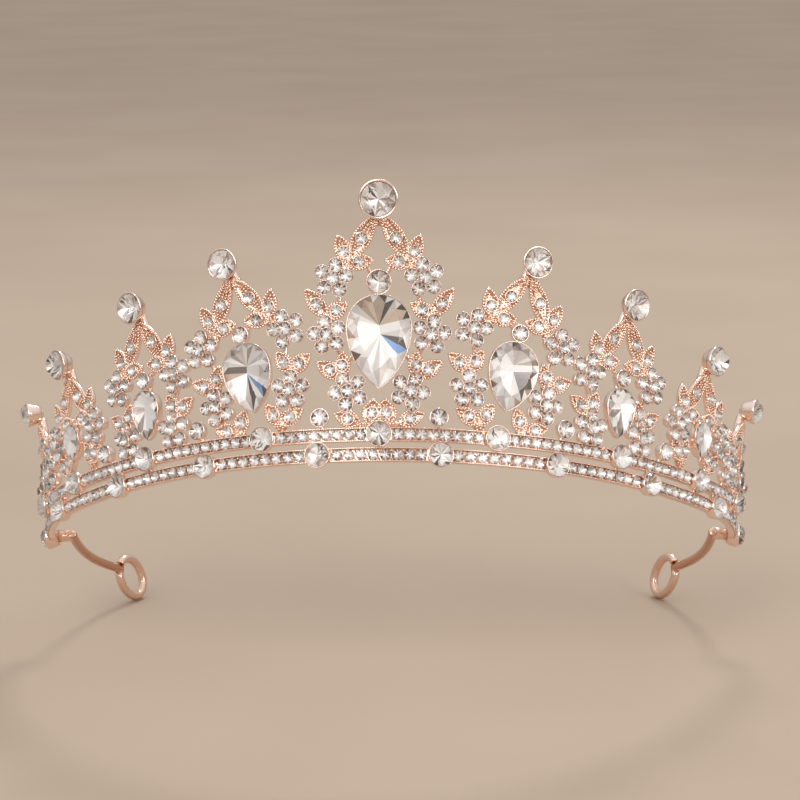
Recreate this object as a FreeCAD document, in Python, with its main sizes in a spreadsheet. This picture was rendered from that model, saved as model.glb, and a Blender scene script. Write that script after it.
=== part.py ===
import FreeCAD, Part
import math
import os
import Sketcher
from FreeCAD import Matrix, Placement, Rotation, Vector

# Bridal tiara, millimetres. Nine openwork castings stand on two stone-set rails, and a wire
# with a closed eye carries on from each end of the rails.
#
# Everything is laid out in the rail frame: X to the right as seen from the front, Y from front
# to back, Z normal to the plane of the rails, origin at the middle of the head opening. One
# Placement, WORN, then lifts the front as the tiara is worn. Names ending in _right mean +X.

# a round stone as shares of its radius: height of the widest part's lower and upper edge and of
# the table, and half-width of the flattened culet and of the table
STONE_WAIST = 0.5
STONE_GIRDLE = 0.62
STONE_TABLE = 1.15
STONE_CULET_REACH = 0.35
STONE_TABLE_REACH = 0.55
# how far a casting's foot reaches into a rail, and a post into a cup, before trimming (mm)
ROOT = 0.2

SIZES = {
    # plan of the rails: three tangent arcs each side of the middle
    "front_radius": 72.0,
    "front_arc": 44.0,
    "side_radius": 93.0,
    "side_arc": 40.0,
    "end_radius": 42.0,
    "lower_rail_arc": 110.5,
    "upper_rail_arc": 104.5,
    "head_centre": 66.0,
    # the castings lean outwards more and more towards their tips
    "rail_flare": 5.7,
    "profile_radius": 200.0,
    "worn_tilt": 28.7,
    # rails
    "rail_spacing": 4.05,
    "rail_height": 2.8,
    "rail_depth": 1.6,
    "channel_height": 2.1,
    "channel_depth": 0.8,
    "post_diameter": 1.2,
    # large round cups along the rails, and how far the last ones are from the rail ends
    "lower_inset": 2.5,
    "upper_inset": 8.1,
    "upper_first": 23.2,
    "upper_second": 51.2,
    "upper_third": 76.0,
    "centre_height": 51.4,
    "inner_height": 40.9,
    "middle_height": 35.8,
    "outer_height": 30.0,
    "end_height": 25.2,
    "inner_foot": 23.4,
    "middle_foot": 50.1,
    "outer_foot": 75.4,
    "end_foot": 96.5,
    "inner_lean": 7.0,
    # round cups
    "cup_wall": 0.35,
    "rail_stone": 4.6,
    "rail_cup_wall": 0.2,
    "rail_cup_depth": 2.5,
    "centre_top_stone": 7.2,
    "side_top_stone": 5.5,
    "end_top_stone": 5.0,
    "top_cup_depth": 3.2,
    "centre_drop_stone": 4.4,
    "side_drop_stone": 3.2,
    "drop_cup_depth": 2.2,
    "valley_stone": 3.1,
    "valley_cup_depth": 2.1,
    "valley_height": 7.6,
    "valley_first": 11.5,
    "valley_second": 37.6,
    "valley_third": 63.9,
    # pear cups: full width and length of each stone
    "centre_pear_width": 12.0,
    "centre_pear_length": 17.6,
    "inner_pear_width": 9.6,
    "inner_pear_length": 13.4,
    "middle_pear_width": 6.9,
    "middle_pear_length": 9.8,
    "outer_pear_width": 5.4,
    "outer_pear_length": 7.6,
    "pear_wall": 0.45,
    "pear_cup_depth": 2.4,
    "centre_pear_height": 22.5,
    "inner_pear_height": 16.9,
    "middle_pear_height": 13.1,
    "outer_pear_height": 12.6,
    # small stones, flowers and leaves
    "pave_stone": 2.05,
    "pave_closest": 2.2,
    "pave_widest": 2.55,
    "petal_stone": 2.35,
    "petal_wall": 0.3,
    "petal_ring": 2.65,
    "petal_depth": 1.7,
    "heart_stone": 2.2,
    "heart_depth": 2.6,
    "leaf_stone": 2.1,
    "leaf_width": 3.2,
    "leaf_depth": 1.3,
    "leaf_root": 0.4,
    "link_diameter": 1.1,
    "link_lift": 0.7,
    "stone_clearance": 0.03,
    "pear_seat": 1.5,
    # end wires
    "wire_diameter": 2.0,
    "wire_radius": 85.0,
    "wire_length": 33.0,
    "eye_diameter": 9.0,
    "eye_turn": 60.0,
    "eye_drop": 1.2,
    "eye_wire_diameter": 2.1,
    "peg_diameter": 2.6,
    "peg_length": 3.2,
}

doc = FreeCAD.newDocument("tiara")
sheet = doc.addObject("Spreadsheet::Sheet", "Sizes")
for row, (alias, value) in enumerate(SIZES.items(), start=1):
    sheet.set(f"A{row}", alias)
    sheet.set(f"B{row}", str(value))
    sheet.setAlias(f"B{row}", alias)
doc.recompute()


def size(alias):
    return float(sheet.get(alias))


WORN = Placement(Vector(0, 0, 0), Rotation(Vector(1, 0, 0), -size("worn_tilt")))
parts = []


# ---------------------------------------------------------------- the curved surface

def plan_arcs():
    """Curvature and length of each arc of the plan, from the middle outwards."""
    return (
        (1 / size("front_radius"), size("front_arc")),
        (1 / size("side_radius"), size("side_arc")),
        (1 / size("end_radius"), size("lower_rail_arc")),
    )


def plan_point(along):
    """Place and heading of the rail's back edge at a distance along it, right side positive."""
    x, y, heading = 0.0, -size("head_centre"), 0.0
    left = abs(along)
    for curvature, length in plan_arcs():
        run = min(left, length)
        turned = heading + curvature * run
        x += (math.sin(turned) - math.sin(heading)) / curvature
        y += (math.cos(heading) - math.cos(turned)) / curvature
        heading = turned
        left -= run
    side = -1 if along < 0 else 1
    return side * x, y, side * heading


def profile_point(up):
    """Outward reach, height and lean of the surface at a distance up from the lower rail."""
    radius = size("profile_radius")
    start = math.radians(size("rail_flare"))
    lean = start + up / radius
    reach = radius * (math.cos(start) - math.cos(lean))
    height = radius * (math.sin(lean) - math.sin(start))
    return reach, height, lean


def frame_at(along, up, lift=0.0, turn=0.0):
    """Placement whose X runs along the rail, Y up the surface and Z outwards."""
    x, y, heading = plan_point(along)
    reach, height, lean = profile_point(up)
    outward = Vector(math.sin(heading), -math.cos(heading), 0)
    across = Vector(math.cos(heading), math.sin(heading), 0)
    normal = outward * math.cos(lean) - Vector(0, 0, math.sin(lean))
    upward = normal.cross(across)
    base = Vector(x, y, height) + outward * reach + normal * lift
    axes = Matrix(
        across.x, upward.x, normal.x, base.x,
        across.y, upward.y, normal.y, base.y,
        across.z, upward.z, normal.z, base.z,
        0, 0, 0, 1,
    )
    return Placement(axes).multiply(Placement(Vector(), Rotation(Vector(0, 0, 1), turn)))


def surface_point(along, up, lift=0.0):
    return frame_at(along, up, lift).Base


def placed(shape, placement):
    copy = shape.copy()
    copy.Placement = placement.multiply(copy.Placement)
    return copy


def mirrored(shape):
    return shape.mirror(Vector(), Vector(1, 0, 0))


# ---------------------------------------------------------------- document helpers

def keep(label, shape):
    """Add one finished sub-part of code-built shape, placed as worn."""
    feature = doc.addObject("Part::Feature", label)
    feature.Label = label
    feature.Shape = shape
    feature.Placement = WORN.multiply(feature.Placement)
    parts.append(feature)
    return feature


def new_sketch(body, name, role):
    sketch = body.newObject("Sketcher::SketchObject", name)
    plane = [o for o in body.Origin.OriginFeatures if o.Role == role][0]
    sketch.AttachmentSupport = [(plane, "")]
    sketch.MapMode = "FlatFace"
    return sketch


def polygon_sketch(sketch, corners):
    """Closed outline whose corners are tied to the sheet: each corner is an (x, y) expression pair."""
    places = [Vector(1 + n, 1 + n * n, 0) for n in range(len(corners))]
    for start, end in zip(places, places[1:] + places[:1]):
        sketch.addGeometry(Part.LineSegment(start, end), False)
    count = len(corners)
    for n in range(count):
        sketch.addConstraint(Sketcher.Constraint("Coincident", n, 2, (n + 1) % count, 1))
    for n, (across, up) in enumerate(corners):
        for kind, expression in (("DistanceX", across), ("DistanceY", up)):
            index = sketch.addConstraint(Sketcher.Constraint(kind, -1, 1, n, 1, 1.0))
            sketch.setExpression(f"Constraints[{index}]", expression)


def brilliant(name, diameter):
    """One round stone as a turned body: table, crown, girdle and pavilion, culet at the origin."""
    body = doc.addObject("PartDesign::Body", name)
    sketch = new_sketch(body, name + "_section", "XZ_Plane")
    wide = f"(Sizes.{diameter} / 2 - Sizes.stone_clearance)"
    corners = (
        ("0 mm", "0 mm"),
        (f"{wide} * {STONE_CULET_REACH} * 1 mm", "0 mm"),
        (f"{wide} * 1 mm", f"{wide} * {STONE_WAIST} * 1 mm"),
        (f"{wide} * 1 mm", f"{wide} * {STONE_GIRDLE} * 1 mm"),
        (f"{wide} * {STONE_TABLE_REACH} * 1 mm", f"{wide} * {STONE_TABLE} * 1 mm"),
        ("0 mm", f"{wide} * {STONE_TABLE} * 1 mm"),
    )
    polygon_sketch(sketch, corners)
    turned = body.newObject("PartDesign::Revolution", name + "_turned")
    turned.Profile = sketch
    turned.ReferenceAxis = (sketch, ["V_Axis"])
    turned.Angle = 360.0
    body.Tip = turned
    return body


def stone_height(diameter):
    """Depth of the pocket that holds a round stone up to its girdle."""
    return diameter / 2 * STONE_GIRDLE


class Casting:
    """Gathers the solids, pockets and stones of one casting before they are joined."""

    def __init__(self):
        self.solids = []
        self.pockets = []
        self.stones = {}

    def add(self, solid, place):
        self.solids.append(placed(solid, place))

    def seat(self, kind, place, diameter):
        """Cut a blind pocket whose rim is at the place given, and put a stone in it."""
        depth = stone_height(diameter)
        floor = place.multiply(Placement(Vector(0, 0, -depth), Rotation()))
        self.pockets.append(placed(Part.makeCylinder(diameter / 2, 2 * depth), floor))
        self.stones.setdefault(kind, []).append(floor)

    def cup(self, kind, place, diameter, wall, depth):
        """Round cup standing on the surface, with its stone level with the rim."""
        self.add(Part.makeCylinder(diameter / 2 + wall, depth), place)
        rim = place.multiply(Placement(Vector(0, 0, depth), Rotation()))
        self.seat(kind, rim, diameter)

    def link(self, start, end):
        """Round bar through the thickness of the casting between two surface points."""
        first = surface_point(*start, size("link_lift"))
        along = surface_point(*end, size("link_lift")) - first
        self.solids.append(Part.makeCylinder(size("link_diameter") / 2, along.Length, first, along))

    def joined(self, surroundings=()):
        """One shape, trimmed to the pieces it stands against and with its pockets cut."""
        shape = self.solids[0].multiFuse(self.solids[1:])
        for tool in list(surroundings) + self.pockets:
            shape = shape.cut(tool)
        return shape


# ---------------------------------------------------------------- ornament motifs

class Peak:
    """Local chart of one peak: across from its axis and down from the middle of its top cup."""

    def __init__(self, foot, height, lean=0.0):
        self.foot = foot
        self.height = height
        self.lean = math.radians(lean)

    def chart(self, across, down):
        up = self.height - down
        along = self.foot + across * math.cos(self.lean) + up * math.sin(self.lean)
        return along, up * math.cos(self.lean) - across * math.sin(self.lean)

    def place(self, across, down, turn=0.0):
        along, up = self.chart(across, down)
        return frame_at(along, up, 0, turn - math.degrees(self.lean))

    def down_to(self, up, across=0.0):
        """How far below the top cup a height above the lower rail lies."""
        return self.height - (up + across * math.sin(self.lean)) / math.cos(self.lean)


def leaf_outline(length, width):
    """Pointed oval from its base at the origin to its tip along X."""
    swell = Vector(0.45 * length, width / 2, 0)
    tip = Vector(length, 0, 0)
    upper = Part.Arc(Vector(), swell, tip).toShape()
    lower = Part.Arc(tip, Vector(swell.x, -swell.y, 0), Vector()).toShape()
    return Part.Face(Part.Wire([upper, lower]))


def add_leaf(casting, peak, base, angle, length, stone_share=0.45):
    """Leaf with one stone; base is (across, down) and angle is from the across direction."""
    root = Placement(Vector(-size("leaf_root"), 0, 0), Rotation())
    outline = leaf_outline(length + size("leaf_root"), size("leaf_width"))
    for side in (1, -1):
        turn = angle if side > 0 else 180 - angle
        place = peak.place(side * base[0], base[1], turn)
        casting.add(placed(outline.extrude(Vector(0, 0, size("leaf_depth"))), root), place)
        rim = Placement(Vector(stone_share * length, 0, size("leaf_depth")), Rotation())
        casting.seat("leaf_stone", place.multiply(rim), size("leaf_stone"))


def add_flower(casting, peak, centre, turn):
    """Five petal cups round a taller heart cup, and its mirror image across the peak."""
    for side in (1, -1):
        middle = peak.place(side * centre[0], centre[1])
        casting.cup("heart_stone", middle, size("heart_stone"), size("petal_wall"), size("heart_depth"))
        for petal in range(5):
            angle = math.radians(turn + 72 * petal)
            offset = Vector(side * math.cos(angle), math.sin(angle), 0) * size("petal_ring")
            place = middle.multiply(Placement(offset, Rotation()))
            casting.cup("petal_stone", place, size("petal_stone"), size("petal_wall"), size("petal_depth"))


def add_branch(casting, peak, base, inner_angle, outer_angle, inner_length=5.2, outer_length=5.6):
    """Pair of leaves that share one foot."""
    add_leaf(casting, peak, base, inner_angle, inner_length)
    add_leaf(casting, peak, base, outer_angle, outer_length)


def add_links(casting, peak, *points):
    """Chain of back bars through (across, down) points, on both sides of the peak."""
    for side in (1, -1):
        for start, end in zip(points, points[1:]):
            first = peak.chart(side * start[0], start[1])
            last = peak.chart(side * end[0], end[1])
            casting.link(first, last)


def add_crest(casting, peak, top_kind, flower_across, flower_turn=29):
    """Top cup, three pairs of leaves and a pair of flowers: the same on every peak."""
    casting.cup(top_kind, peak.place(0, 0), size(top_kind), size("cup_wall"), size("top_cup_depth"))
    add_leaf(casting, peak, (4.9, 10.1), 128, 6.9)
    add_leaf(casting, peak, (5.6, 12.7), 71, 6.2, 0.38)
    add_leaf(casting, peak, (5.7, 12.8), 174, 5.4)
    add_flower(casting, peak, (flower_across, 15.6), flower_turn)
    add_links(casting, peak, (0.6, 0.5), (2.8, 7.5), (5.4, 12.4), (flower_across, 15.6))


def pear_face(width, length, grow=0.0, share=1.0):
    """Pear outline, point down, middle of its length at the origin."""
    radius = width / 2
    point = length - radius
    flank = (radius * radius + point * point) / (2 * radius)
    inset = flank - radius
    radius = (radius + grow) * share
    point = math.sqrt((flank + grow) ** 2 - inset ** 2) * share
    flank = (flank + grow) * share
    middle = length / 2 - width / 2 - 0.2 * width * (1 - share)
    swell = math.sqrt(flank ** 2 - (point / 2) ** 2) - inset * share
    right = Vector(radius, middle, 0)
    left = Vector(-radius, middle, 0)
    tip = Vector(0, middle - point, 0)
    edges = (
        Part.Arc(right, Vector(0, middle + radius, 0), left).toShape(),
        Part.Arc(left, Vector(-swell, middle - point / 2, 0), tip).toShape(),
        Part.Arc(tip, Vector(swell, middle - point / 2, 0), right).toShape(),
    )
    return Part.Face(Part.Wire(edges))


def pear_stone(width, length):
    """Pear crystal, flat culet at the origin, girdle level with the cup's rim."""
    clear = -size("stone_clearance")
    rim = size("pear_seat")
    levels = (
        (0.0, 0.5),
        (0.8 * rim, 1.0),
        (rim, 1.0),
        (rim + 0.36 * width / 2, 0.55),
    )
    wires = []
    for level, share in levels:
        wire = pear_face(width, length, clear, share).OuterWire
        wire.translate(Vector(0, 0, level))
        wires.append(wire)
    return Part.makeLoft(wires, True, True)


def add_pear(casting, peak, name, up):
    """Pear cup on the axis of a peak; returns its crystal."""
    width = size(name + "_pear_width")
    length = size(name + "_pear_length")
    depth = size("pear_cup_depth")
    place = peak.place(0, peak.down_to(up))
    casting.add(pear_face(width, length, size("pear_wall")).extrude(Vector(0, 0, depth)), place)
    floor = place.multiply(Placement(Vector(0, 0, depth - size("pear_seat")), Rotation()))
    pocket = pear_face(width, length).extrude(Vector(0, 0, 2 * depth))
    casting.pockets.append(placed(pocket, floor))
    return placed(pear_stone(width, length), floor)


def add_drop(casting, peak, name, up, stone):
    """Small round cup that stands on the top of a pear cup."""
    rise = size(name + "_pear_length") / 2 + size("pear_wall") + size(stone) / 2 + size("cup_wall")
    place = peak.place(0, peak.down_to(up) - rise)
    casting.cup(stone, place, size(stone), size("cup_wall"), size("drop_cup_depth"))
    along, high = peak.chart(0, peak.down_to(up) - rise)
    casting.link((along, high - rise / 3), (along, high))
    return peak.down_to(up) - rise


# ---------------------------------------------------------------- rails

def rail_edge(start, end, reach):
    """One arc of a rail's path, kept at a constant reach from the lower rail's back edge."""
    points = []
    for along in (start, (start + end) / 2, end):
        x, y, heading = plan_point(along)
        points.append(Vector(x + reach * math.sin(heading), y - reach * math.cos(heading), 0))
    return Part.Arc(*points).toShape()


def rail_path(half_length, up):
    reach, height, _ = profile_point(up)
    knots = [0, size("front_arc"), size("front_arc") + size("side_arc"), half_length]
    stops = [-knot for knot in reversed(knots[1:])] + knots
    edges = [rail_edge(start, end, reach) for start, end in zip(stops, stops[1:])]
    wire = Part.Wire(edges)
    wire.translate(Vector(0, 0, height))
    return wire


def rail_strip(name, half_length, up):
    """Channel section swept along the rail's arcs."""
    path = doc.addObject("Part::Feature", name + "_path")
    path.Shape = rail_path(half_length, up)
    section = doc.addObject("Sketcher::SketchObject", name + "_section")
    upright = Placement(Matrix(0, 0, 1, 0, 1, 0, 0, 0, 0, 1, 0, 0, 0, 0, 0, 1))
    section.Placement = frame_at(-half_length, up).multiply(upright)
    tall = "Sizes.rail_height / 2 * 1 mm"
    slot = "Sizes.channel_height / 2 * 1 mm"
    front = "Sizes.rail_depth * 1 mm"
    floor = "(Sizes.rail_depth - Sizes.channel_depth) * 1 mm"
    corners = (
        ("-" + tall, "0 mm"), (tall, "0 mm"), (tall, front), (slot, front),
        (slot, floor), ("-" + slot, floor), ("-" + slot, front), ("-" + tall, front),
    )
    polygon_sketch(section, corners)
    strip = doc.addObject("Part::Sweep", name + "_strip")
    strip.Sections = [section]
    strip.Spine = (path, [f"Edge{n + 1}" for n in range(len(path.Shape.Edges))])
    strip.Solid = True
    strip.Frenet = False
    doc.recompute()
    return strip.Shape


def both_sides(places):
    """The places given and their mirror images, in order from left to right."""
    return sorted({side * place for place in places for side in (-1, 1)})


def lower_cup_places():
    """Five equal bays each side, the first one shared across the middle."""
    bay = (size("lower_rail_arc") - size("lower_inset")) / 4.5
    return both_sides([bay * (n + 0.5) for n in range(5)])


def upper_cup_places():
    return both_sides([0, size("upper_first"), size("upper_second"), size("upper_third"),
                       size("upper_rail_arc") - size("upper_inset")])


def pave_places(cups, half_length):
    """Evenly spaced small stones in each stretch between two large cups."""
    cup_radius = size("rail_stone") / 2 + size("rail_cup_wall")
    stretches = [(a + cup_radius, b - cup_radius) for a, b in zip(cups, cups[1:])]
    tail = half_length - cups[-1] - cup_radius
    if tail > size("pave_closest"):
        stretches.append((cups[-1] + cup_radius, half_length))
        stretches.insert(0, (-half_length, cups[0] - cup_radius))
    places = []
    for start, end in stretches:
        room = end - start
        count = min(int(room / size("pave_closest")), math.ceil(room / size("pave_widest")))
        places += [start + room * (n + 0.5) / count for n in range(count)]
    return places


def build_rail(name, half_length, up, cups):
    """Rail casting with its large cups, and the stones that sit in it."""
    casting = Casting()
    casting.solids.append(rail_strip(name, half_length, up))
    for along in cups:
        casting.cup("rail_stone", frame_at(along, up), size("rail_stone"),
                    size("rail_cup_wall"), size("rail_cup_depth"))
    floor = size("rail_depth") - size("channel_depth")
    small = [frame_at(along, up, floor) for along in pave_places(cups, half_length)]
    return casting.joined(), casting.stones["rail_stone"], small


def post(along, low, high):
    radius = size("post_diameter") / 2
    foot = surface_point(along, low, radius)
    return Part.makeCylinder(radius, high - low, foot, surface_point(along, high, radius) - foot)


def rail_posts():
    """Short pins between each large cup and the other rail."""
    cup_edge = size("rail_stone") / 2 + size("rail_cup_wall") / 2
    rail_edges = size("rail_height") / 2 - ROOT, size("rail_spacing") - size("rail_height") / 2 + ROOT
    standing = [post(along, cup_edge, rail_edges[1]) for along in lower_cup_places()[1:-1]]
    hanging = [post(along, rail_edges[0], size("rail_spacing") - cup_edge)
               for along in upper_cup_places()]
    return standing + hanging


# ---------------------------------------------------------------- end wires

def wire_path():
    """Right-hand wire: an arc in the plane of the rails that turns into a closed eye."""
    start = surface_point(lower_cup_places()[-1], 0, -size("peg_length"))
    radius = size("wire_radius")
    turn = size("wire_length") / radius
    middle = start + Vector(radius * (math.cos(turn / 2) - 1), radius * math.sin(turn / 2), 0)
    end = start + Vector(radius * (math.cos(turn) - 1), radius * math.sin(turn), 0)
    return start, middle, end


def eye_place():
    """Centre of the eye and its level axis; the wire's end lies on the eye's centre line."""
    end = wire_path()[2]
    turn = math.radians(size("eye_turn"))
    level = Vector(-math.cos(turn), math.sin(turn), 0)
    reach = math.sqrt(size("eye_diameter") ** 2 / 4 - size("eye_drop") ** 2)
    return end + level * reach - Vector(0, 0, size("eye_drop")), level


def end_wire():
    """Wire with the closed eye at its end."""
    start, middle, end = wire_path()
    spine = Part.Wire([Part.Arc(start, middle, end).toShape()])
    section = Part.Wire([Part.makeCircle(size("wire_diameter") / 2, start, Vector(0, 1, 0))])
    rod = spine.makePipeShell([section], True, False)
    centre, level = eye_place()
    normal = level.cross(Vector(0, 0, 1))
    eye = Part.makeTorus(size("eye_diameter") / 2, size("eye_wire_diameter") / 2, centre, normal)
    return rod.fuse(eye)


def end_peg(rail):
    """Peg from the back of the last lower cup to the wire."""
    along = lower_cup_places()[-1]
    length = size("peg_length")
    place = frame_at(along, 0, -length)
    peg = placed(Part.makeCylinder(size("peg_diameter") / 2, length), place)
    return peg.cut(Part.makeCompound([rail, end_wire()]))


# ---------------------------------------------------------------- the nine peaks
# Places are (across, down) from the middle of the peak's top cup, and angles are in degrees from
# the across direction. Each motif is repeated on the other side of the peak's axis.

def centre_peak():
    peak = Peak(0, size("centre_height"))
    casting = Casting()
    add_crest(casting, peak, "centre_top_stone", 8.2)
    crystal = add_pear(casting, peak, "centre", size("centre_pear_height"))
    drop = add_drop(casting, peak, "centre", size("centre_pear_height"), "centre_drop_stone")
    add_branch(casting, peak, (9.8, 23.4), 149, 54, 5.2, 6.3)
    add_flower(casting, peak, (9.7, 27.0), 8)
    add_branch(casting, peak, (7.2, 35.6), 93, 32, 5.2, 6.2)
    add_flower(casting, peak, (5.9, 38.6), 66)
    add_leaf(casting, peak, (3.8, 45.0), 21, 5.6)
    add_leaf(casting, peak, (1.4, 45.7), 95, 5.6)
    add_links(casting, peak, (0.6, 12.3), (0.3, drop))
    add_links(casting, peak, (7.2, 17.8), (7.6, 21.9), (9.8, 23.6), (9.7, 27.0), (6.6, 32.6), (5.2, 31.6))
    add_links(casting, peak, (6.6, 32.6), (7.2, 35.4), (5.9, 38.6), (5.6, 44.4), (3.9, 45.1), (1.5, 45.2))
    add_links(casting, peak, (3.9, 45.1), (3.9, peak.down_to(rail_root())))
    return casting, crystal


def inner_peak():
    peak = Peak(size("inner_foot"), size("inner_height"), size("inner_lean"))
    casting = Casting()
    add_crest(casting, peak, "side_top_stone", 9.0)
    crystal = add_pear(casting, peak, "inner", size("inner_pear_height"))
    drop = add_drop(casting, peak, "inner", size("inner_pear_height"), "side_drop_stone")
    add_branch(casting, peak, (8.2, 24.3), 115, 30)
    add_flower(casting, peak, (7.8, 28.0), 8)
    add_branch(casting, peak, (4.6, 34.4), 119, 22)
    add_links(casting, peak, (0.6, 12.4), (0.3, drop))
    add_links(casting, peak, (8.2, 17.9), (7.3, 21.5), (8.2, 24.3), (7.8, 28.0), (4.8, 26.2))
    add_links(casting, peak, (7.8, 29.6), (6.9, 33.6), (4.6, 34.6), (4.4, peak.down_to(rail_root(), 4.4)))
    return casting, crystal


def middle_peak():
    peak = Peak(size("middle_foot"), size("middle_height"))
    casting = Casting()
    add_crest(casting, peak, "side_top_stone", 8.1)
    crystal = add_pear(casting, peak, "middle", size("middle_pear_height"))
    drop = add_drop(casting, peak, "middle", size("middle_pear_height"), "side_drop_stone")
    add_branch(casting, peak, (7.0, 24.0), 112, 34)
    add_flower(casting, peak, (6.5, 26.9), 18)
    add_links(casting, peak, (0.6, 12.4), (0.3, drop))
    add_links(casting, peak, (7.6, 17.9), (6.2, 21.8), (7.0, 24.0), (6.5, 26.9), (3.2, 25.0))
    add_links(casting, peak, (6.2, 27.5), (6.2, peak.down_to(rail_root())))
    return casting, crystal


def outer_peak():
    peak = Peak(size("outer_foot"), size("outer_height"))
    casting = Casting()
    add_crest(casting, peak, "side_top_stone", 7.9, 2)
    crystal = add_pear(casting, peak, "outer", size("outer_pear_height"))
    add_branch(casting, peak, (5.0, 22.8), 108, 44)
    add_links(casting, peak, (1.2, 12.7), (1.0, 14.4))
    add_links(casting, peak, (7.4, 17.6), (6.8, 21.0), (5.0, 22.8), (2.4, 20.4))
    add_links(casting, peak, (5.0, 22.8), (5.0, peak.down_to(rail_root())))
    return casting, crystal


def end_peak():
    peak = Peak(size("end_foot"), size("end_height"))
    casting = Casting()
    add_crest(casting, peak, "end_top_stone", 7.4)
    add_leaf(casting, peak, (1.4, 18.9), 95, 5.2)
    add_links(casting, peak, (1.4, 13.0), (1.2, 15.0), (1.5, 18.8), (1.5, peak.down_to(rail_root())))
    add_links(casting, peak, (7.4, 15.6), (7.4, peak.down_to(rail_root())))
    return casting, None


def rail_root():
    """Height at which a casting's feet end inside the top edge of the upper rail."""
    return size("rail_spacing") + size("rail_height") / 2 - ROOT


def valley_cups():
    """Small round cups that stand on the upper rail between neighbouring peaks."""
    casting = Casting()
    for along in both_sides([size("valley_first"), size("valley_second"), size("valley_third")]):
        place = frame_at(along, size("valley_height"))
        casting.cup("valley_stone", place, size("valley_stone"), size("cup_wall"), size("valley_cup_depth"))
        casting.link((along, rail_root()), (along, size("valley_height") - 1))
    return casting


# ---------------------------------------------------------------- assembly

# slivers smaller than this, left where a pocket clips a back bar, are dropped (mm3)
SLIVER = 0.5


def one_solid(shape, label):
    solids = [solid for solid in shape.Solids if solid.Volume > SLIVER]
    if len(solids) != 1:
        volumes = [round(solid.Volume, 3) for solid in solids]
        raise RuntimeError(f"{label} came out as {len(solids)} solids, volumes {volumes}")
    return solids[0]


BRILLIANTS = {kind: brilliant(kind + "_cut", kind) for kind in (
    "rail_stone", "centre_top_stone", "side_top_stone", "end_top_stone", "centre_drop_stone",
    "side_drop_stone", "valley_stone", "pave_stone", "petal_stone", "heart_stone", "leaf_stone",
)}
doc.recompute()


def stones(kind, places):
    return [placed(BRILLIANTS[kind].Shape, place) for place in places]


def group(label, shapes):
    keep(label, Part.makeCompound(shapes))


def build_rails():
    lower, lower_large, lower_small = build_rail(
        "lower_rail", size("lower_rail_arc"), 0, lower_cup_places())
    upper, upper_large, upper_small = build_rail(
        "upper_rail", size("upper_rail_arc"), size("rail_spacing"), upper_cup_places())
    keep("lower_rail", one_solid(lower, "lower_rail"))
    keep("upper_rail", one_solid(upper, "upper_rail"))
    posts = [pin.cut(Part.makeCompound([lower, upper])) for pin in rail_posts()]
    group("rail_posts", posts)
    group("lower_rail_crystals", stones("rail_stone", lower_large))
    group("upper_rail_crystals", stones("rail_stone", upper_large))
    group("lower_rail_chatons", stones("pave_stone", lower_small))
    group("upper_rail_chatons", stones("pave_stone", upper_small))
    return lower, upper


def build_wires(rail):
    wire = end_wire()
    peg = end_peg(rail)
    keep("end_wire_right", wire)
    keep("end_wire_left", mirrored(wire))
    keep("end_peg_right", peg)
    keep("end_peg_left", mirrored(peg))


def same(shape):
    return shape


def build_peaks(rail):
    """Castings from the middle outwards, each trimmed to the rail and its neighbour."""
    makers = {"centre": centre_peak, "inner": inner_peak, "middle": middle_peak,
              "outer": outer_peak, "end": end_peak}
    neighbour = []
    bodies = []
    shared = {"top_stone": [], "drop_stone": [], "heart_stone": []}
    for name, maker in makers.items():
        casting, crystal = maker()
        body = one_solid(casting.joined([rail] + neighbour), name + "_peak")
        neighbour = [body]
        sides = {"": same} if name == "centre" else {"_right": same, "_left": mirrored}
        for side, turned in sides.items():
            bodies.append(turned(body))
            keep(f"{name}_peak{side}", bodies[-1])
            if crystal:
                keep(f"{name}_pear_crystal{side}", turned(crystal))
            for kind, places in casting.stones.items():
                shapes = [turned(shape) for shape in stones(kind, places)]
                family = [key for key in shared if kind.endswith(key)]
                if family:
                    shared[family[0]] += shapes
                else:
                    group(f"{name}_{kind}s{side}", shapes)
    group("top_crystals", shared["top_stone"])
    group("drop_crystals", shared["drop_stone"])
    group("flower_heart_stones", shared["heart_stone"])
    return bodies


def build_valleys(rail, bodies):
    casting = valley_cups()
    cups = casting.joined([rail] + bodies)
    group("valley_cups", cups.Solids)
    group("valley_crystals", stones("valley_stone", casting.stones["valley_stone"]))


lower_rail, upper_rail = build_rails()
build_wires(lower_rail)
build_valleys(upper_rail, build_peaks(upper_rail))
doc.recompute()

for item in doc.Objects:
    if {"Invalid", "Error"} & set(item.State):
        raise RuntimeError(f"{item.Name} failed: {item.State}")
for item in parts:
    if item.Shape.isNull() or not item.Shape.isValid():
        raise RuntimeError(f"{item.Label} has no valid shape")

os.makedirs("parts", exist_ok=True)
for item in parts:
    item.Shape.exportStep(f"parts/{item.Label}.step")
print(len(parts), "sub-parts written")
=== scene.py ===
import math
import random

import bpy
import numpy as np
from mathutils import Matrix, Vector


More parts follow.
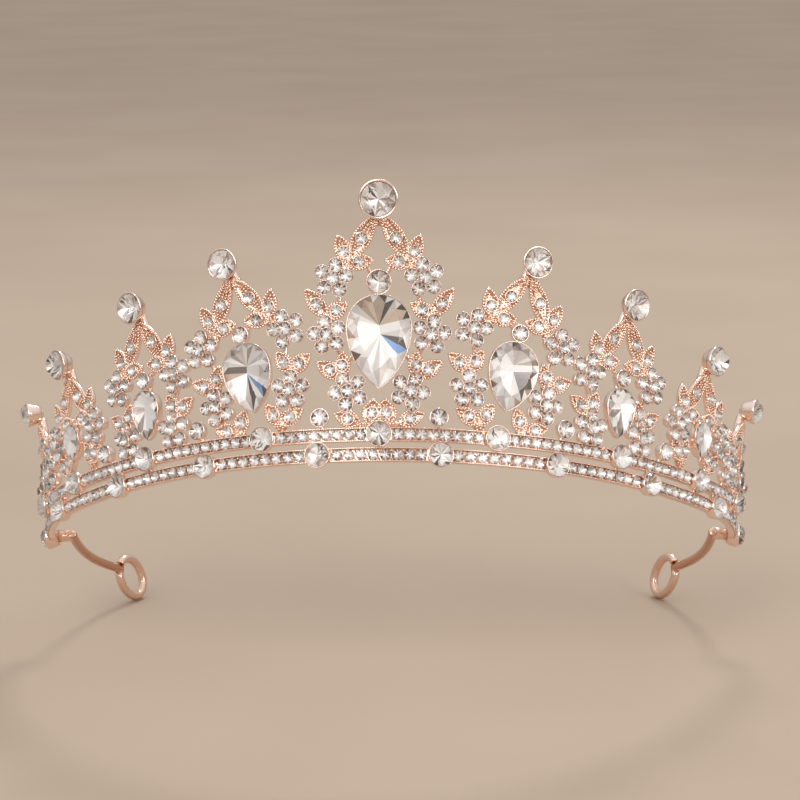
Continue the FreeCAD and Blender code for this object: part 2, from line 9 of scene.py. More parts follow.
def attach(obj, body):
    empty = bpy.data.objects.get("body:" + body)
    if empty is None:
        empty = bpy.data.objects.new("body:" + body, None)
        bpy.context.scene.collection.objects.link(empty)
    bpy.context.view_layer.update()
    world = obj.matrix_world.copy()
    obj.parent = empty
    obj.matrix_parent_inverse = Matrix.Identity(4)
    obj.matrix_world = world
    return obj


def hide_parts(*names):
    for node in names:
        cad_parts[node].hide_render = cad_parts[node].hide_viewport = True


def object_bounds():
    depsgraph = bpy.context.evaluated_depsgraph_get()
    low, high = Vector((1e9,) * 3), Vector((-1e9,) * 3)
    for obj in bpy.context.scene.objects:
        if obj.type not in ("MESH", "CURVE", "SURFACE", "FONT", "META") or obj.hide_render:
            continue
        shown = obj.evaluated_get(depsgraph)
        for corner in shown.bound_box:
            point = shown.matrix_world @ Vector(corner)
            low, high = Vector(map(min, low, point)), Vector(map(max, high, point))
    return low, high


# Bridal tiara. The layout is in millimetres in the plane of the rails (X across, Y front to back,
# Z normal to the rails), and TILT turns it as the tiara is worn; meshes are written in metres.
# A place on the surface is a distance along it from the middle and a distance up it.

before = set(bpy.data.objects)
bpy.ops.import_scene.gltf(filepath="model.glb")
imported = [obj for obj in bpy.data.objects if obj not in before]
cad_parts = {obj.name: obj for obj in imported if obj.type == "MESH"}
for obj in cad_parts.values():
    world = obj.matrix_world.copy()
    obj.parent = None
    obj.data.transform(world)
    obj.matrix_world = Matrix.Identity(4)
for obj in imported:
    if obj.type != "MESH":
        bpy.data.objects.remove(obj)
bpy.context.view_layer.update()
random.seed(7)

# the rails' plan: a front, a side and an end arc each way from the middle, cut at each rail's end
FRONT_RADIUS, FRONT_ARC = 72.0, 44.0
SIDE_RADIUS, SIDE_ARC = 93.0, 40.0
END_RADIUS, LOWER_ARC, UPPER_ARC = 42.0, 110.5, 104.5
HEAD_CENTRE = 66.0
# the surface leans out by FLARE at the rails, and more and more above them
FLARE, PROFILE_RADIUS, TILT = math.radians(5.7), 200.0, math.radians(-28.7)
MILLIMETRE = 0.001

# the rails' channels, the slots and spacing of their small stones, and their posts; links start
# at ROOT_UP, and the lower rail's large cups are a bay apart
RAIL_SPACING, RAIL_HEIGHT, RAIL_FACE = 4.05, 2.8, 1.5
RAIL_TOP = RAIL_SPACING + RAIL_HEIGHT / 2
ROOT_UP = RAIL_TOP - 0.2
SLOT, SLOT_FLOOR, CHANNEL_FLOOR = 2.36, 0.8, 0.5
PAVE_CLOSEST, PAVE_WIDEST = 2.2, 2.55
BAY = 24.0
POST_RADIUS, POST_LIFT = 0.6, 0.6

# diameters of the stones, and the walls and depths of their cups
LARGE, LARGE_WALL, LARGE_DEPTH = 4.6, 0.2, 2.5
PAVE, PETAL, HEART, LEAF = 2.3, 2.66, 2.56, 2.3
PETAL_RING, PETAL_WALL, PETAL_DEPTH, HEART_DEPTH = 2.65, 0.17, 1.7, 2.6
TOP_DEPTH, TOP_PLUG = 3.2, 0.35
DROP_WALL, DROP_DEPTH = 0.26, 2.2
VALLEY, VALLEY_WALL, VALLEY_DEPTH, VALLEY_UP = 3.4, 0.22, 2.1, 7.6
PEAR_DEPTH, PEAR_GIRDLE, PEAR_FIT = 2.4, 1.5, 0.27

# leaves: TUCK is how far a plate goes back under its knot, WIDEST a share of its length
LEAF_WIDTH, LEAF_DEPTH, LEAF_TUCK, LEAF_WIDEST = 3.4, 1.3, 0.4, 0.45
LINK_RADIUS, LINK_LIFT = 0.5, 0.1
GOLDEN_ANGLE = math.radians(137.5)

# end wires: a peg in the rail's end, an arm, and an eye turned away from it
PEG_INSET, PEG_LENGTH, PEG_RADIUS = 2.5, 3.2, 1.3
WIRE_RADIUS, ARM_RADIUS, ARM_LENGTH, ARM_STEPS = 1.0, 85.0, 33.0, 30
ARM_OVERLAP, ARM_DIP = 1.3, 0.9
EYE_RADIUS, EYE_DROP, EYE_TURN = 4.5, 1.2, math.radians(60)
EYE_SQUASH, EYE_LEAN = 0.93, 0.2

# a round stone's heights as shares of its radius, and its gap in the cup; a stone wider than
# SPLIT_FROM has each main facet in two tints
GIRDLE, TABLE, PAVILION, STONE_GAP = 0.62, 1.15, 0.5, 0.03
TABLE_SHARE, REACH, SPLIT_REACH, SPLIT_FROM = 0.6, 0.3, 0.42, 4
ROUND_MAINS = 8
# any cut stone: its star points out and up, its half facets' inner points down, its girdle's edge
STAR_OUTSET, STAR_RISE, HALF_LEVEL, GIRDLE_EDGE = 0.03, 0.56, 1.03, 0.03

# a stone's material slots, and the tints of metal: full colour, painted half shade, painted shade
CLEAR, FOIL = 0, 1
BRIGHT, HALF_SHADE, PAINTED_SHADE = (1.0, 1.0, 1.0), (0.93, 0.87, 0.82), (0.74, 0.59, 0.49)


# ---------------------------------------------------------------- the curved surface

def plan_point(along):
    """Place and heading of the rails' line, in plan."""
    x, y, heading = 0.0, -HEAD_CENTRE, 0.0
    left = abs(along)
    for curvature, length in ((1 / FRONT_RADIUS, FRONT_ARC), (1 / SIDE_RADIUS, SIDE_ARC),
                              (1 / END_RADIUS, LOWER_ARC)):
        run = min(left, length)
        after = heading + curvature * run
        x += (math.sin(after) - math.sin(heading)) / curvature
        y += (math.cos(heading) - math.cos(after)) / curvature
        heading = after
        left -= run
    side = -1 if along < 0 else 1
    return side * x, y, side * heading


def frame_at(along, up, lift=0.0, turn=0.0):
    """Placement whose X runs along the rail, Y up the surface and Z outwards."""
    x, y, heading = plan_point(along)
    lean = FLARE + up / PROFILE_RADIUS
    reach = PROFILE_RADIUS * (math.cos(FLARE) - math.cos(lean))
    height = PROFILE_RADIUS * (math.sin(lean) - math.sin(FLARE))
    outward = np.array((math.sin(heading), -math.cos(heading), 0.0))
    across = np.array((math.cos(heading), math.sin(heading), 0.0))
    normal = outward * math.cos(lean) - np.array((0, 0, math.sin(lean)))
    place = np.eye(4)
    place[:3, 0] = across
    place[:3, 1] = np.cross(normal, across)
    place[:3, 2] = normal
    place[:3, 3] = np.array((x, y, height)) + outward * reach + normal * lift
    return place @ turned(turn)


def turned(degrees):
    c, s = math.cos(math.radians(degrees)), math.sin(math.radians(degrees))
    place = np.eye(4)
    place[:2, :2] = ((c, -s), (s, c))
    return place


def shift(x, y, z):
    place = np.eye(4)
    place[:3, 3] = (x, y, z)
    return place


def scaled(factor):
    return np.diag((factor, factor, factor, 1.0))


def point_on(along, up, lift=0.0):
    return frame_at(along, up, lift)[:3, 3]


def section_point(along, up, offset, height):
    """Point of a rail's cross-section: offset up the surface and height above it."""
    place = frame_at(along, up)
    return place[:3, :3] @ (0, offset, height) + place[:3, 3]


# ---------------------------------------------------------------- mesh building

class Shape:
    """Points and faces in millimetres; each face has a material, a tint and a shading flag."""

    def __init__(self):
        self.parts = []

    def faces(self, points, faces, smooth, tints, materials=None):
        totals = np.array([len(f) for f in faces])
        loops = np.array([i for f in faces for i in f])
        if materials is None:
            materials = np.zeros(len(faces), int)
        self.parts.append((np.array(points, float), loops, totals, np.array(materials),
                           np.array(tints, float), np.full(len(faces), smooth)))
        return self

    def add(self, other, place=None):
        for points, loops, totals, material, tints, smooth in other.parts:
            if place is not None:
                points = points @ place[:3, :3].T + place[:3, 3]
            self.parts.append((points, loops, totals, material, tints, smooth))
        return self

    def packed(self):
        """The parts joined into one, so that later copies are quick."""
        offsets = np.cumsum([0] + [len(p[0]) for p in self.parts[:-1]])
        joined = [np.concatenate([p[n] for p in self.parts]) for n in range(6)]
        joined[1] = np.concatenate([p[1] + o for p, o in zip(self.parts, offsets)])
        packed = Shape()
        packed.parts = [tuple(joined)]
        return packed

    def mirrored(self):
        """The shape on the other side of the middle, its faces still turned outwards."""
        points, loops, totals, material, tints, smooth = self.packed().parts[0]
        ends = np.cumsum(totals)
        inside = np.arange(len(loops)) - np.repeat(ends - totals, totals)
        order = np.repeat(ends - 1, totals) - inside
        flipped = Shape()
        flipped.parts = [(points * (-1, 1, 1), loops[order], totals, material, tints, smooth)]
        return flipped


def sided(shape, side):
    """A shape as it was made, or its mirror image if it belongs on the left."""
    return shape.mirrored() if side == "_left" else shape


def lathe(profile, count, bands=(BRIGHT,)):
    """Turned solid; the profile's (radius, height) points start and end on the axis.

    Bands gives the tint of each step of the profile, the last one going on to the end.
    """
    on_axis = 1e-6
    points, rings = [], []
    for radius, height in profile:
        ring = []
        for n in range(count if radius > on_axis else 1):
            angle = 2 * math.pi * n / count
            ring.append(len(points))
            points.append((radius * math.cos(angle), radius * math.sin(angle), height))
        rings.append(ring)
    faces, tints = [], []
    for step, (low, high) in enumerate(zip(rings, rings[1:])):
        tints += [bands[min(step, len(bands) - 1)]] * count
        for n in range(count):
            m = (n + 1) % count
            if len(low) == 1:
                faces.append((low[0], high[m], high[n]))
            elif len(high) == 1:
                faces.append((low[n], low[m], high[0]))
            else:
                faces.append((low[n], low[m], high[m], high[n]))
    return Shape().faces(points, faces, True, tints)


def stacked(rings, smooth=True, shade_levels=(), half_shade_sides=()):
    """Closed solid through outlines of equal length, capped at both ends.

    Shade levels get painted shade all round, as does the last cap, and half-shade sides get
    painted half shade at every level.
    """
    count = len(rings[0])
    points = [p for ring in rings for p in ring]
    faces, tints = [], []
    for level in range(len(rings) - 1):
        for n in range(count):
            m = (n + 1) % count
            a, b = level * count, (level + 1) * count
            faces.append((a + n, a + m, b + m, b + n))
            # the levels listed for it get painted shade, the sides listed for it painted half shade
            tints.append(PAINTED_SHADE if level in shade_levels else HALF_SHADE if n in half_shade_sides else BRIGHT)
    faces.append(tuple(range(count - 1, -1, -1)))
    faces.append(tuple(range((len(rings) - 1) * count, len(rings) * count)))
    tints += [BRIGHT, PAINTED_SHADE if shade_levels else BRIGHT]
    return Shape().faces(points, faces, smooth, tints)


def tube(path, radius, count, tip, shade_levels=()):
    """Round bar along a path; tip is the share of its radius by which its ends are bevelled."""
    path = np.array(path, float)
    heading = np.gradient(path, axis=0)
    heading /= np.linalg.norm(heading, axis=1)[:, None]
    unlike_any_heading = (0.3, 0.2, 0.9)
    side = np.cross(heading[0], unlike_any_heading)
    stations = [(path[0], heading[0], (1 - tip) * radius)]
    stations.append((path[0] + heading[0] * tip * radius, heading[0], radius))
    stations += [(p, h, radius) for p, h in zip(path[1:-1], heading[1:-1])]
    stations.append((path[-1] - heading[-1] * tip * radius, heading[-1], radius))
    stations.append((path[-1], heading[-1], (1 - tip) * radius))
    rings = []
    for centre, direction, width in stations:
        side = side - direction * np.dot(side, direction)
        side /= np.linalg.norm(side)
        other = np.cross(direction, side)
        rings.append([centre + width * (math.cos(a) * side + math.sin(a) * other)
                      for a in np.arange(count) * 2 * math.pi / count])
    return stacked(rings, shade_levels=shade_levels)


def unit_bead():
    """Granule of radius 1, with painted shade at its foot, painted half shade above it and full
    colour on top.
    """
    steps, sides = 4, 7
    angles = [math.pi * n / steps for n in range(steps + 1)]
    profile = [(math.sin(a), -math.cos(a)) for a in angles]
    return lathe(profile, sides, (PAINTED_SHADE, PAINTED_SHADE, HALF_SHADE, BRIGHT))


BEAD = unit_bead()


def bead_row(shape, points, radius):
    for point in points:
        shape.add(BEAD, shift(*point) @ scaled(radius))


def evenly(path, spacing):
    """Points evenly spaced along a polyline."""
    path = np.array(path, float)
    steps = np.linalg.norm(np.diff(path, axis=0), axis=1)
    run = np.concatenate(([0], np.cumsum(steps)))
    count = max(2, int(round(run[-1] / spacing)) + 1)
    marks = np.linspace(0, run[-1], count)
    return np.stack([np.interp(marks, run, path[:, n]) for n in range(3)], axis=1)


# ---------------------------------------------------------------- stones

# tones painted on the stones' facets as reflections, from a painted glint to a dark reflection
GLINT, WHITE, PALE = (0.96, 0.95, 0.94), (0.80, 0.77, 0.745), (0.60, 0.55, 0.515)
GREY, TAUPE, DARK = (0.37, 0.31, 0.285), (0.36, 0.26, 0.20), (0.11, 0.085, 0.07)
SAND, FAWN, BLUE = (0.62, 0.49, 0.38), (0.44, 0.36, 0.29), (0.20, 0.33, 0.58)

# painted reflections: which tint each kind of facet is painted with, and how often
MAIN_TINTS = ((GLINT, 60), (WHITE, 16), (PALE, 12), (SAND, 3), (GREY, 9))
GAP_TINTS = ((WHITE, 16), (PALE, 12), (GREY, 22), (TAUPE, 20), (DARK, 28), (BLUE, 2))
EDGE_TINTS = ((DARK, 11), (TAUPE, 12), (SAND, 3), (PALE, 24), (WHITE, 50))
CROWN_TINTS = ((BRIGHT, 60), (WHITE, 20), (PALE, 12), (GREY, 8))


def drawn(tints):
    return random.choices([tint for tint, _ in tints], [weight for _, weight in tints])[0]


def faceted(outline, culets, depth, girdle, table_height, table_share, reach, mains=None):
    """Cut stone with a closed outline of 2n points: clear crown over a foiled pavilion.

    The pavilion's main facets run to one culet, or to the nearer end of a keel between two, and
    meet their neighbours as far out as reach, a share of the way to the outline. Every facet is
    tinted with a painted reflection; mains gives the tints of the main facets' two halves, and
    without it a whole facet draws one tint.
    """
    count = len(outline) // 2
    outline = [np.array(p, float) for p in outline]
    culets = [np.array(c, float) for c in culets]
    heart = sum(culets) / len(culets)
    middle = (1 + table_share) / 2 + STAR_OUTSET
    rise = table_height - girdle
    points, names = [], {}

    def mark(name, flat, height):
        names[name] = len(points)
        points.append((flat[0], flat[1], height))

    def toward(index, centre, share):
        return centre + (outline[index % (2 * count)] - centre) * share

    def near(index):
        return 0 if outline[index % (2 * count)][1] >= heart[1] else len(culets) - 1

    for n in range(count):
        mark(("table", n), toward(2 * n, heart, table_share), table_height)
        mark(("star", n), toward(2 * n + 1, heart, middle), girdle + STAR_RISE * rise)
        mark(("half", n), toward(2 * n + 1, culets[near(2 * n + 1)], reach),
             girdle - (HALF_LEVEL - reach) * (girdle - depth))
    for n in range(2 * count):
        mark(("edge", n), outline[n], girdle)
        mark(("under", n), outline[n], girdle - GIRDLE_EDGE * rise)
    for n, culet in enumerate(culets):
        mark(("culet", n), culet, depth)
    faces, materials, tints = [], [], []

    def facet(material, tint, corners):
        faces.append(corners)
        materials.append(material)
        tints.append(tint)

    def crown(tint, *corners):
        facet(CLEAR, tint, corners)

    def pavilion(tint, *corners):
        facet(FOIL, tint, corners)

    crown(BRIGHT, *[names["table", n] for n in range(count)])
    for n in range(count):
        table, next_table = names["table", n], names["table", (n + 1) % count]
        star, before = names["star", n], names["star", (n - 1) % count]
        edge = [names["edge", (2 * n + k) % (2 * count)] for k in range(3)]
        under = [names["under", (2 * n + k) % (2 * count)] for k in range(3)]
        half, half_before = names["half", n], names["half", (n - 1) % count]
        kite = drawn(CROWN_TINTS)
        crown(drawn(CROWN_TINTS), table, star, next_table)
        crown(kite, table, before, edge[0])
        crown(kite, table, edge[0], star)
        crown(drawn(CROWN_TINTS), star, edge[0], edge[1])
        crown(drawn(CROWN_TINTS), star, edge[1], edge[2])
        crown(BRIGHT, edge[0], under[0], under[1], edge[1])
        crown(BRIGHT, edge[1], under[1], under[2], edge[2])
        main = drawn(MAIN_TINTS)
        right_half, left_half = mains[2 * n:2 * n + 2] if mains else (main, main)
        last, following = names["culet", near(2 * n - 1)], names["culet", near(2 * n + 1)]
        pavilion(left_half, following, half, under[0])
        pavilion(right_half, last, under[0], half_before)
        if following != last:
            pavilion(left_half, following, under[0], last)
        pavilion(drawn(EDGE_TINTS if mains else GAP_TINTS), half, under[1], under[0])
        pavilion(drawn(EDGE_TINTS), half, under[2], under[1])
    return Shape().faces(points, faces, False, tints, materials)


def brilliant(diameter):
    """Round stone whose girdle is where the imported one's is: the cup's floor is the origin."""
    radius = diameter / 2 - STONE_GAP
    angles = [math.pi * n / ROUND_MAINS for n in range(2 * ROUND_MAINS)]
    outline = [(radius * math.cos(angle), radius * math.sin(angle)) for angle in angles]
    girdle = GIRDLE * radius
    mains = []
    if diameter > SPLIT_FROM:
        for _ in range(ROUND_MAINS):
            mains += [drawn(MAIN_TINTS), drawn(EDGE_TINTS)]
    return faceted(outline, [(0, 0)], girdle - PAVILION * radius, girdle, TABLE * radius,
                   TABLE_SHARE, SPLIT_REACH if mains else REACH, mains)


def pear_curve(width, length, grow, head=12, flank=6):
    """Pear outline, point down, starting at the right and going over the top."""
    radius = width / 2
    point = length - radius
    big = (radius * radius + point * point) / (2 * radius)
    inset = big - radius
    middle = length / 2 - radius
    radius += grow
    big += grow
    sweep = math.asin(math.sqrt(big * big - inset * inset) / big)
    angles = [math.pi * n / head for n in range(head + 1)]
    points = [(radius * math.cos(angle), middle + radius * math.sin(angle)) for angle in angles]
    for n in range(1, flank + 1):
        angle = sweep * n / flank
        points.append((inset - big * math.cos(angle), middle - big * math.sin(angle)))
    for n in range(flank - 1, 0, -1):
        angle = sweep * n / flank
        points.append((big * math.cos(angle) - inset, middle - big * math.sin(angle)))
    return points


# ---------------------------------------------------------------- castings

def cup_shape(diameter, wall, depth, count, plug):
    """Bezel: domed back or plug, flared wall, rounded lip and a recessed bore for the stone, the
    bore painted with shade.
    """
    bore = diameter / 2
    outer = bore + wall
    seat = depth - 0.86 * bore if depth > 0.95 * bore else 0.12 * depth
    profile = [(0, 0.03 * depth)]
    flare = (0.60, 0.76, 0.87, 0.94, 0.985)
    if plug:
        profile = [(0, -plug), (0.26 * outer, -plug), (0.30 * outer, -0.7 * plug),
                   (0.30 * outer, 0.02)]
        flare = (0.46, 0.60, 0.70, 0.80, 0.92)
    levels = (0.0, 0.07, 0.22, 0.45, 0.72)
    profile += [(share * outer, level * depth) for share, level in zip(flare, levels)]
    profile += [(outer, depth - 0.22), (outer - 0.02, depth - 0.07),
                (outer - 0.45 * wall, depth + 0.01)]
    inside = [(bore + 0.04, depth - 0.03), (bore, depth - 0.10),
              (bore * 0.985, depth - 0.4 * bore), (0.55 * bore, seat), (0, seat)]
    # the bore inside the lip is painted with shade
    return lathe(profile + inside, count, [BRIGHT] * len(profile) + [PAINTED_SHADE])


def leaf_half_width(share):
    """Half width of a leaf of width 2, at a share of its length."""
    if share < LEAF_WIDEST:
        return 1 - ((LEAF_WIDEST - share) / LEAF_WIDEST) ** 2
    return 1 - ((share - LEAF_WIDEST) / (1 - LEAF_WIDEST)) ** 2


def leaf_shape(length, stone_share, width):
    """Pointed leaf: plate with a beaded border, rows of beads across it and a ringed seat."""
    leaf = Shape()
    half = width / 2
    count = 16
    shares = [n / count for n in range(count + 1)]
    upper = [(-LEAF_TUCK + (length + LEAF_TUCK) * t, half * leaf_half_width(t)) for t in shares]
    outline = upper + [(x, -y) for x, y in upper[-2:0:-1]]
    middle = LEAF_WIDEST * length

    def ring(share, height):
        return [(middle + (x - middle) * share, y * share, height) for x, y in outline]

    # levels 4 to 6, the plate's hollow inside the border, and its floor cap are painted with shade
    leaf.add(stacked([ring(0.80, 0.0), ring(0.93, 0.12), ring(1.0, 0.45), ring(1.0, 0.88),
                      ring(0.95, 0.98), ring(0.86, 0.9), ring(0.78, 0.76), ring(0.5, 0.72)],
                     shade_levels=(4, 5, 6)))
    border = ring(0.91, 1.02)
    border.append(border[0])
    border_bead, row_bead, row_spacing, shortest = 0.31, 0.27, 0.62, 0.2
    bead_row(leaf, evenly(border, 0.6)[:-1], border_bead)
    centre = stone_share * length
    for x in np.arange(0.3, length - 0.5, row_spacing):
        reach = 0.66 * half * leaf_half_width((x + LEAF_TUCK) / (length + LEAF_TUCK))
        if abs(x - centre) < LEAF / 2 + 0.3 or reach < shortest:
            continue
        grains = max(2, round(reach / 0.26))
        row = [(x, y, 0.86) for y in np.linspace(-reach, reach, grains)]
        bead_row(leaf, row, row_bead)
    bore = LEAF / 2
    seat = lathe([(0, 0.1), (bore + 0.05, 0.1), (bore + 0.2, 0.8), (bore + 0.19, 1.24),
                  (bore + 0.1, LEAF_DEPTH + 0.02), (bore, LEAF_DEPTH - 0.06),
                  (bore * 0.95, 0.75), (0.4, 0.30), (0, 0.30)], 24)
    leaf.add(seat, shift(centre, 0, 0))
    return leaf


def knot_shape(radius):
    """Granulated boss: a low dome with its grains in a spiral."""
    # the dome's upper part, between the grains, is painted with shade
    knot = lathe([(0, 0), (0.9 * radius, 0.02), (radius, 0.4), (0.85 * radius, 0.9),
                  (0.5 * radius, 1.15), (0, 1.25)], 20, (BRIGHT, BRIGHT, PAINTED_SHADE))
    grains_per_square = 9
    grains = int(grains_per_square * radius * radius)
    for n in range(grains):
        share = math.sqrt((n + 0.5) / grains)
        angle = GOLDEN_ANGLE * n
        bead_row(knot, [(share * radius * math.cos(angle), share * radius * math.sin(angle),
                         1.22 - 0.65 * share ** 3)], 0.25)
    return knot


TEMPLATES = {}


def template(maker, *sizes):
    """The shape that a maker gives, made once for each set of sizes."""
    key = (maker.__name__,) + sizes
    if key not in TEMPLATES:
        TEMPLATES[key] = maker(*sizes).packed()
    return TEMPLATES[key]


class Casting:
    """One openwork casting and the stones set in it."""

    def __init__(self):
        self.metal = Shape()
        self.stones = {}

    def stone(self, kind, diameter, rim):
        """Round stone at a random turn, with its girdle at the rim."""
        floor = rim @ shift(0, 0, -GIRDLE * diameter / 2)
        spin = turned(random.uniform(0, 45))
        self.stones.setdefault(kind, Shape()).add(brilliant(diameter), floor @ spin)

    def cup(self, kind, place, diameter, wall, depth, count, plug=0.0):
        self.metal.add(template(cup_shape, diameter, wall, depth, count, plug), place)
        self.stone(kind, diameter, place @ shift(0, 0, depth))

    def link(self, start, end, radius=LINK_RADIUS):
        """Bar between two places on the surface, with a row of beads on its crest."""
        def between(share, lift):
            return point_on(start[0] + (end[0] - start[0]) * share,
                            start[1] + (end[1] - start[1]) * share, lift)

        bar = [between(t, LINK_LIFT) for t in (0, 0.33, 0.67, 1)]
        self.metal.add(tube(bar, radius, 10, 0.5))
        bead, spacing, sunk = 0.24, 0.46, 0.06
        crest = [between(t, LINK_LIFT + radius - sunk) for t in (0, 0.5, 1)]
        bead_row(self.metal, evenly(crest, spacing), bead)


class Peak(Casting):
    """A casting on the upper rail, charted across from its axis and down from its top cup."""

    def __init__(self, foot, height, lean=0.0):
        super().__init__()
        self.foot, self.height, self.lean = foot, height, math.radians(lean)

    def chart(self, across, down):
        up = self.height - down
        along = self.foot + across * math.cos(self.lean) + up * math.sin(self.lean)
        return along, up * math.cos(self.lean) - across * math.sin(self.lean)

    def place(self, across, down, turn=0.0):
        return frame_at(*self.chart(across, down), 0, turn - math.degrees(self.lean))

    def down_to(self, up, across=0.0):
        """How far down the chart a distance up the surface is."""
        return self.height - (up + across * math.sin(self.lean)) / math.cos(self.lean)

    def leaf(self, base, angle, length, stone_share=0.45, width=LEAF_WIDTH):
        """A leaf each side of the axis, with a stone at a share of its length."""
        for side in (1, -1):
            place = self.place(side * base[0], base[1], angle if side > 0 else 180 - angle)
            self.metal.add(template(leaf_shape, length, stone_share, width), place)
            self.stone("leaf_stones", LEAF, place @ shift(stone_share * length, 0, LEAF_DEPTH))

    def branch(self, base, inner, outer, inner_length=5.2, outer_length=5.6):
        """Two leaves that spread from one knot, at an inner and an outer angle."""
        self.leaf(base, inner, inner_length)
        self.leaf(base, outer, outer_length)
        self.knot(base, 1.5)

    def knot(self, centre, radius):
        """A boss each side where leaves meet."""
        for side in (1, -1):
            self.metal.add(template(knot_shape, radius), self.place(side * centre[0], centre[1]))

    def flower(self, centre, turn):
        """Five petals round a heart, each side of the axis."""
        for side in (1, -1):
            middle = self.place(side * centre[0], centre[1])
            self.cup("heart", middle, HEART, PETAL_WALL, HEART_DEPTH, 26)
            for petal in range(5):
                angle = math.radians(turn + 72 * petal)
                offset = shift(side * math.cos(angle) * PETAL_RING,
                               math.sin(angle) * PETAL_RING, 0)
                self.cup("petal_stones", middle @ offset, PETAL, PETAL_WALL, PETAL_DEPTH, 26)

    def links(self, *points, radius=LINK_RADIUS):
        """Links from point to point of the chart, each side of the axis."""
        for side in (1, -1):
            ends = [self.chart(side * across, down) for across, down in points]
            for start, end in zip(ends, ends[1:]):
                self.link(start, end, radius)

    def crest(self, diameter, across, turn=29, wall=0.3):
        """The top cup, and under it the three leaves and the flower each side of the axis."""
        self.cup("top", self.place(0, 0), diameter, wall, TOP_DEPTH, 48, TOP_PLUG)
        self.leaf((5.25, 12.0), 121.5, 10.9, 0.45, 3.8)
        self.links((0.4, 1.4), (1.5, 5.6), radius=0.8)
        self.leaf((5.6, 12.7), 71, 6.2, 0.38)
        self.leaf((5.7, 12.8), 174, 5.4)
        self.knot((5.4, 12.2), 1.8)
        self.knot((6.2, 13.9), 1.3)
        neck = 4.9 if diameter > 6 else 4.1
        self.knot((1.2, neck), 1.0)
        self.knot((0.45, neck - 0.3), 0.9)
        self.knot((0.6, 4.7), 0.8)
        self.flower((across, 15.6), turn)
        self.links((5.4, 12.4), (across, 15.6))

    def pear(self, width, length, up, tints=None):
        """Pear cup and its stone on the axis; returns the stone."""
        depth, girdle = PEAR_DEPTH, PEAR_GIRDLE
        place = self.place(0, self.down_to(up))
        wall = ((-0.9, 0.0), (-0.3, 0.12), (0.15, 0.55), (0.40, 1.3), (0.48, depth - 0.2),
                (0.46, depth - 0.05), (0.40, depth + 0.03), (0.32, depth - 0.02),
                (0.29, depth - 0.12), (0.1, depth - 0.8), (-1.4, 0.12))
        self.metal.add(stacked([[(x, y, height) for x, y in pear_curve(width, length, grow, 28, 18)]
                                for grow, height in wall]), place)
        keel = [(0, 0.18 * length), (0.02 * width, 0.08 * length)]
        stone = faceted(pear_curve(width, length, PEAR_FIT), keel, girdle - 0.165 * width, girdle,
                        girdle + 0.11 * width, table_share=0.68, reach=0.72, mains=tints)
        return Shape().add(stone, place @ shift(0, 0, depth - girdle))

    def drop(self, length, up, diameter):
        """Round cup linked to the top of a pear; returns how far down the chart it is."""
        rise = length / 2 + 0.45 + diameter / 2 + 0.25
        down = self.down_to(up) - rise
        self.cup("drop", self.place(0, down), diameter, DROP_WALL, DROP_DEPTH, 32)
        along, high = self.chart(0, down)
        self.link((along, high - rise / 3), (along, high))
        return down


def root(peak, across):
    """Where a link meets the upper rail, on the peak's chart."""
    return across, peak.down_to(ROOT_UP, across)


# painted reflection tints of both halves of a pear stone's main facets, from the right and over
# the top; the left one is listed as it is before its peak is mirrored
CENTRE_TINTS = (PALE, WHITE, SAND, SAND, PALE, DARK, FAWN, FAWN, SAND, FAWN, PALE, WHITE,
                PALE, PALE, WHITE, PALE, PALE, WHITE, PALE, PALE, PALE, WHITE, BLUE, DARK)
LEFT_TINTS = (TAUPE, DARK, PALE, WHITE, FAWN, PALE, PALE, WHITE, FAWN, WHITE, WHITE, PALE,
              GLINT, WHITE, WHITE, GLINT, BLUE, WHITE, DARK, GREY, WHITE, GLINT, WHITE, PALE)
RIGHT_TINTS = (DARK, GREY, TAUPE, PALE, FAWN, FAWN, GREY, FAWN, PALE, PALE, WHITE, GLINT,
               WHITE, WHITE, GLINT, WHITE, GLINT, WHITE, WHITE, PALE, PALE, DARK, DARK, DARK)


def centre_peak():
    peak = Peak(0, 51.4)
    peak.crest(7.0, 8.2, wall=0.52)
    crystal = peak.pear(12.2, 18.0, 22.75, CENTRE_TINTS)
    drop = peak.drop(18.0, 22.75, 4.6)
    peak.branch((9.8, 23.4), 149, 54, 5.2, 7.5)
    peak.flower((9.7, 27.0), 8)
    peak.branch((7.2, 35.6), 93, 32, 5.2, 6.2)
    peak.flower((5.9, 38.6), 66)
    peak.leaf((3.8, 45.0), 21, 5.6)
    peak.leaf((1.65, 45.4), 97, 5.4, 0.44, 4.2)
    peak.links((2.3, 13.2), (1.2, drop - 1.4))
    peak.links((7.2, 17.8), (7.6, 21.9), (9.8, 23.6), (9.7, 27.0), (6.6, 32.6), (5.2, 31.6))
    peak.links((6.6, 32.6), (7.2, 35.4), (5.9, 38.6), (5.6, 44.4), (3.9, 45.1), (1.5, 45.2))
    peak.links((3.9, 45.1), root(peak, 3.9))
    return peak, crystal


def inner_peak(side):
    peak = Peak(23.4, 40.9, 7)
    peak.crest(5.9, 9.0)
    crystal = peak.pear(9.6, 13.4, 16.9, LEFT_TINTS if side == "_left" else RIGHT_TINTS)
    drop = peak.drop(13.4, 16.9, 3.2)
    peak.branch((8.2, 24.3), 115, 30)
    peak.flower((7.8, 28.0), 8)
    peak.branch((4.6, 34.4), 119, 22)
    peak.links((1.9, 13.2), (0.8, drop - 1.0))
    peak.links((8.2, 17.9), (7.3, 21.5), (8.2, 24.3), (7.8, 28.0), (4.8, 26.2))
    peak.links((7.8, 29.6), (6.9, 33.6), (4.6, 34.6), root(peak, 4.4))
    return peak, crystal


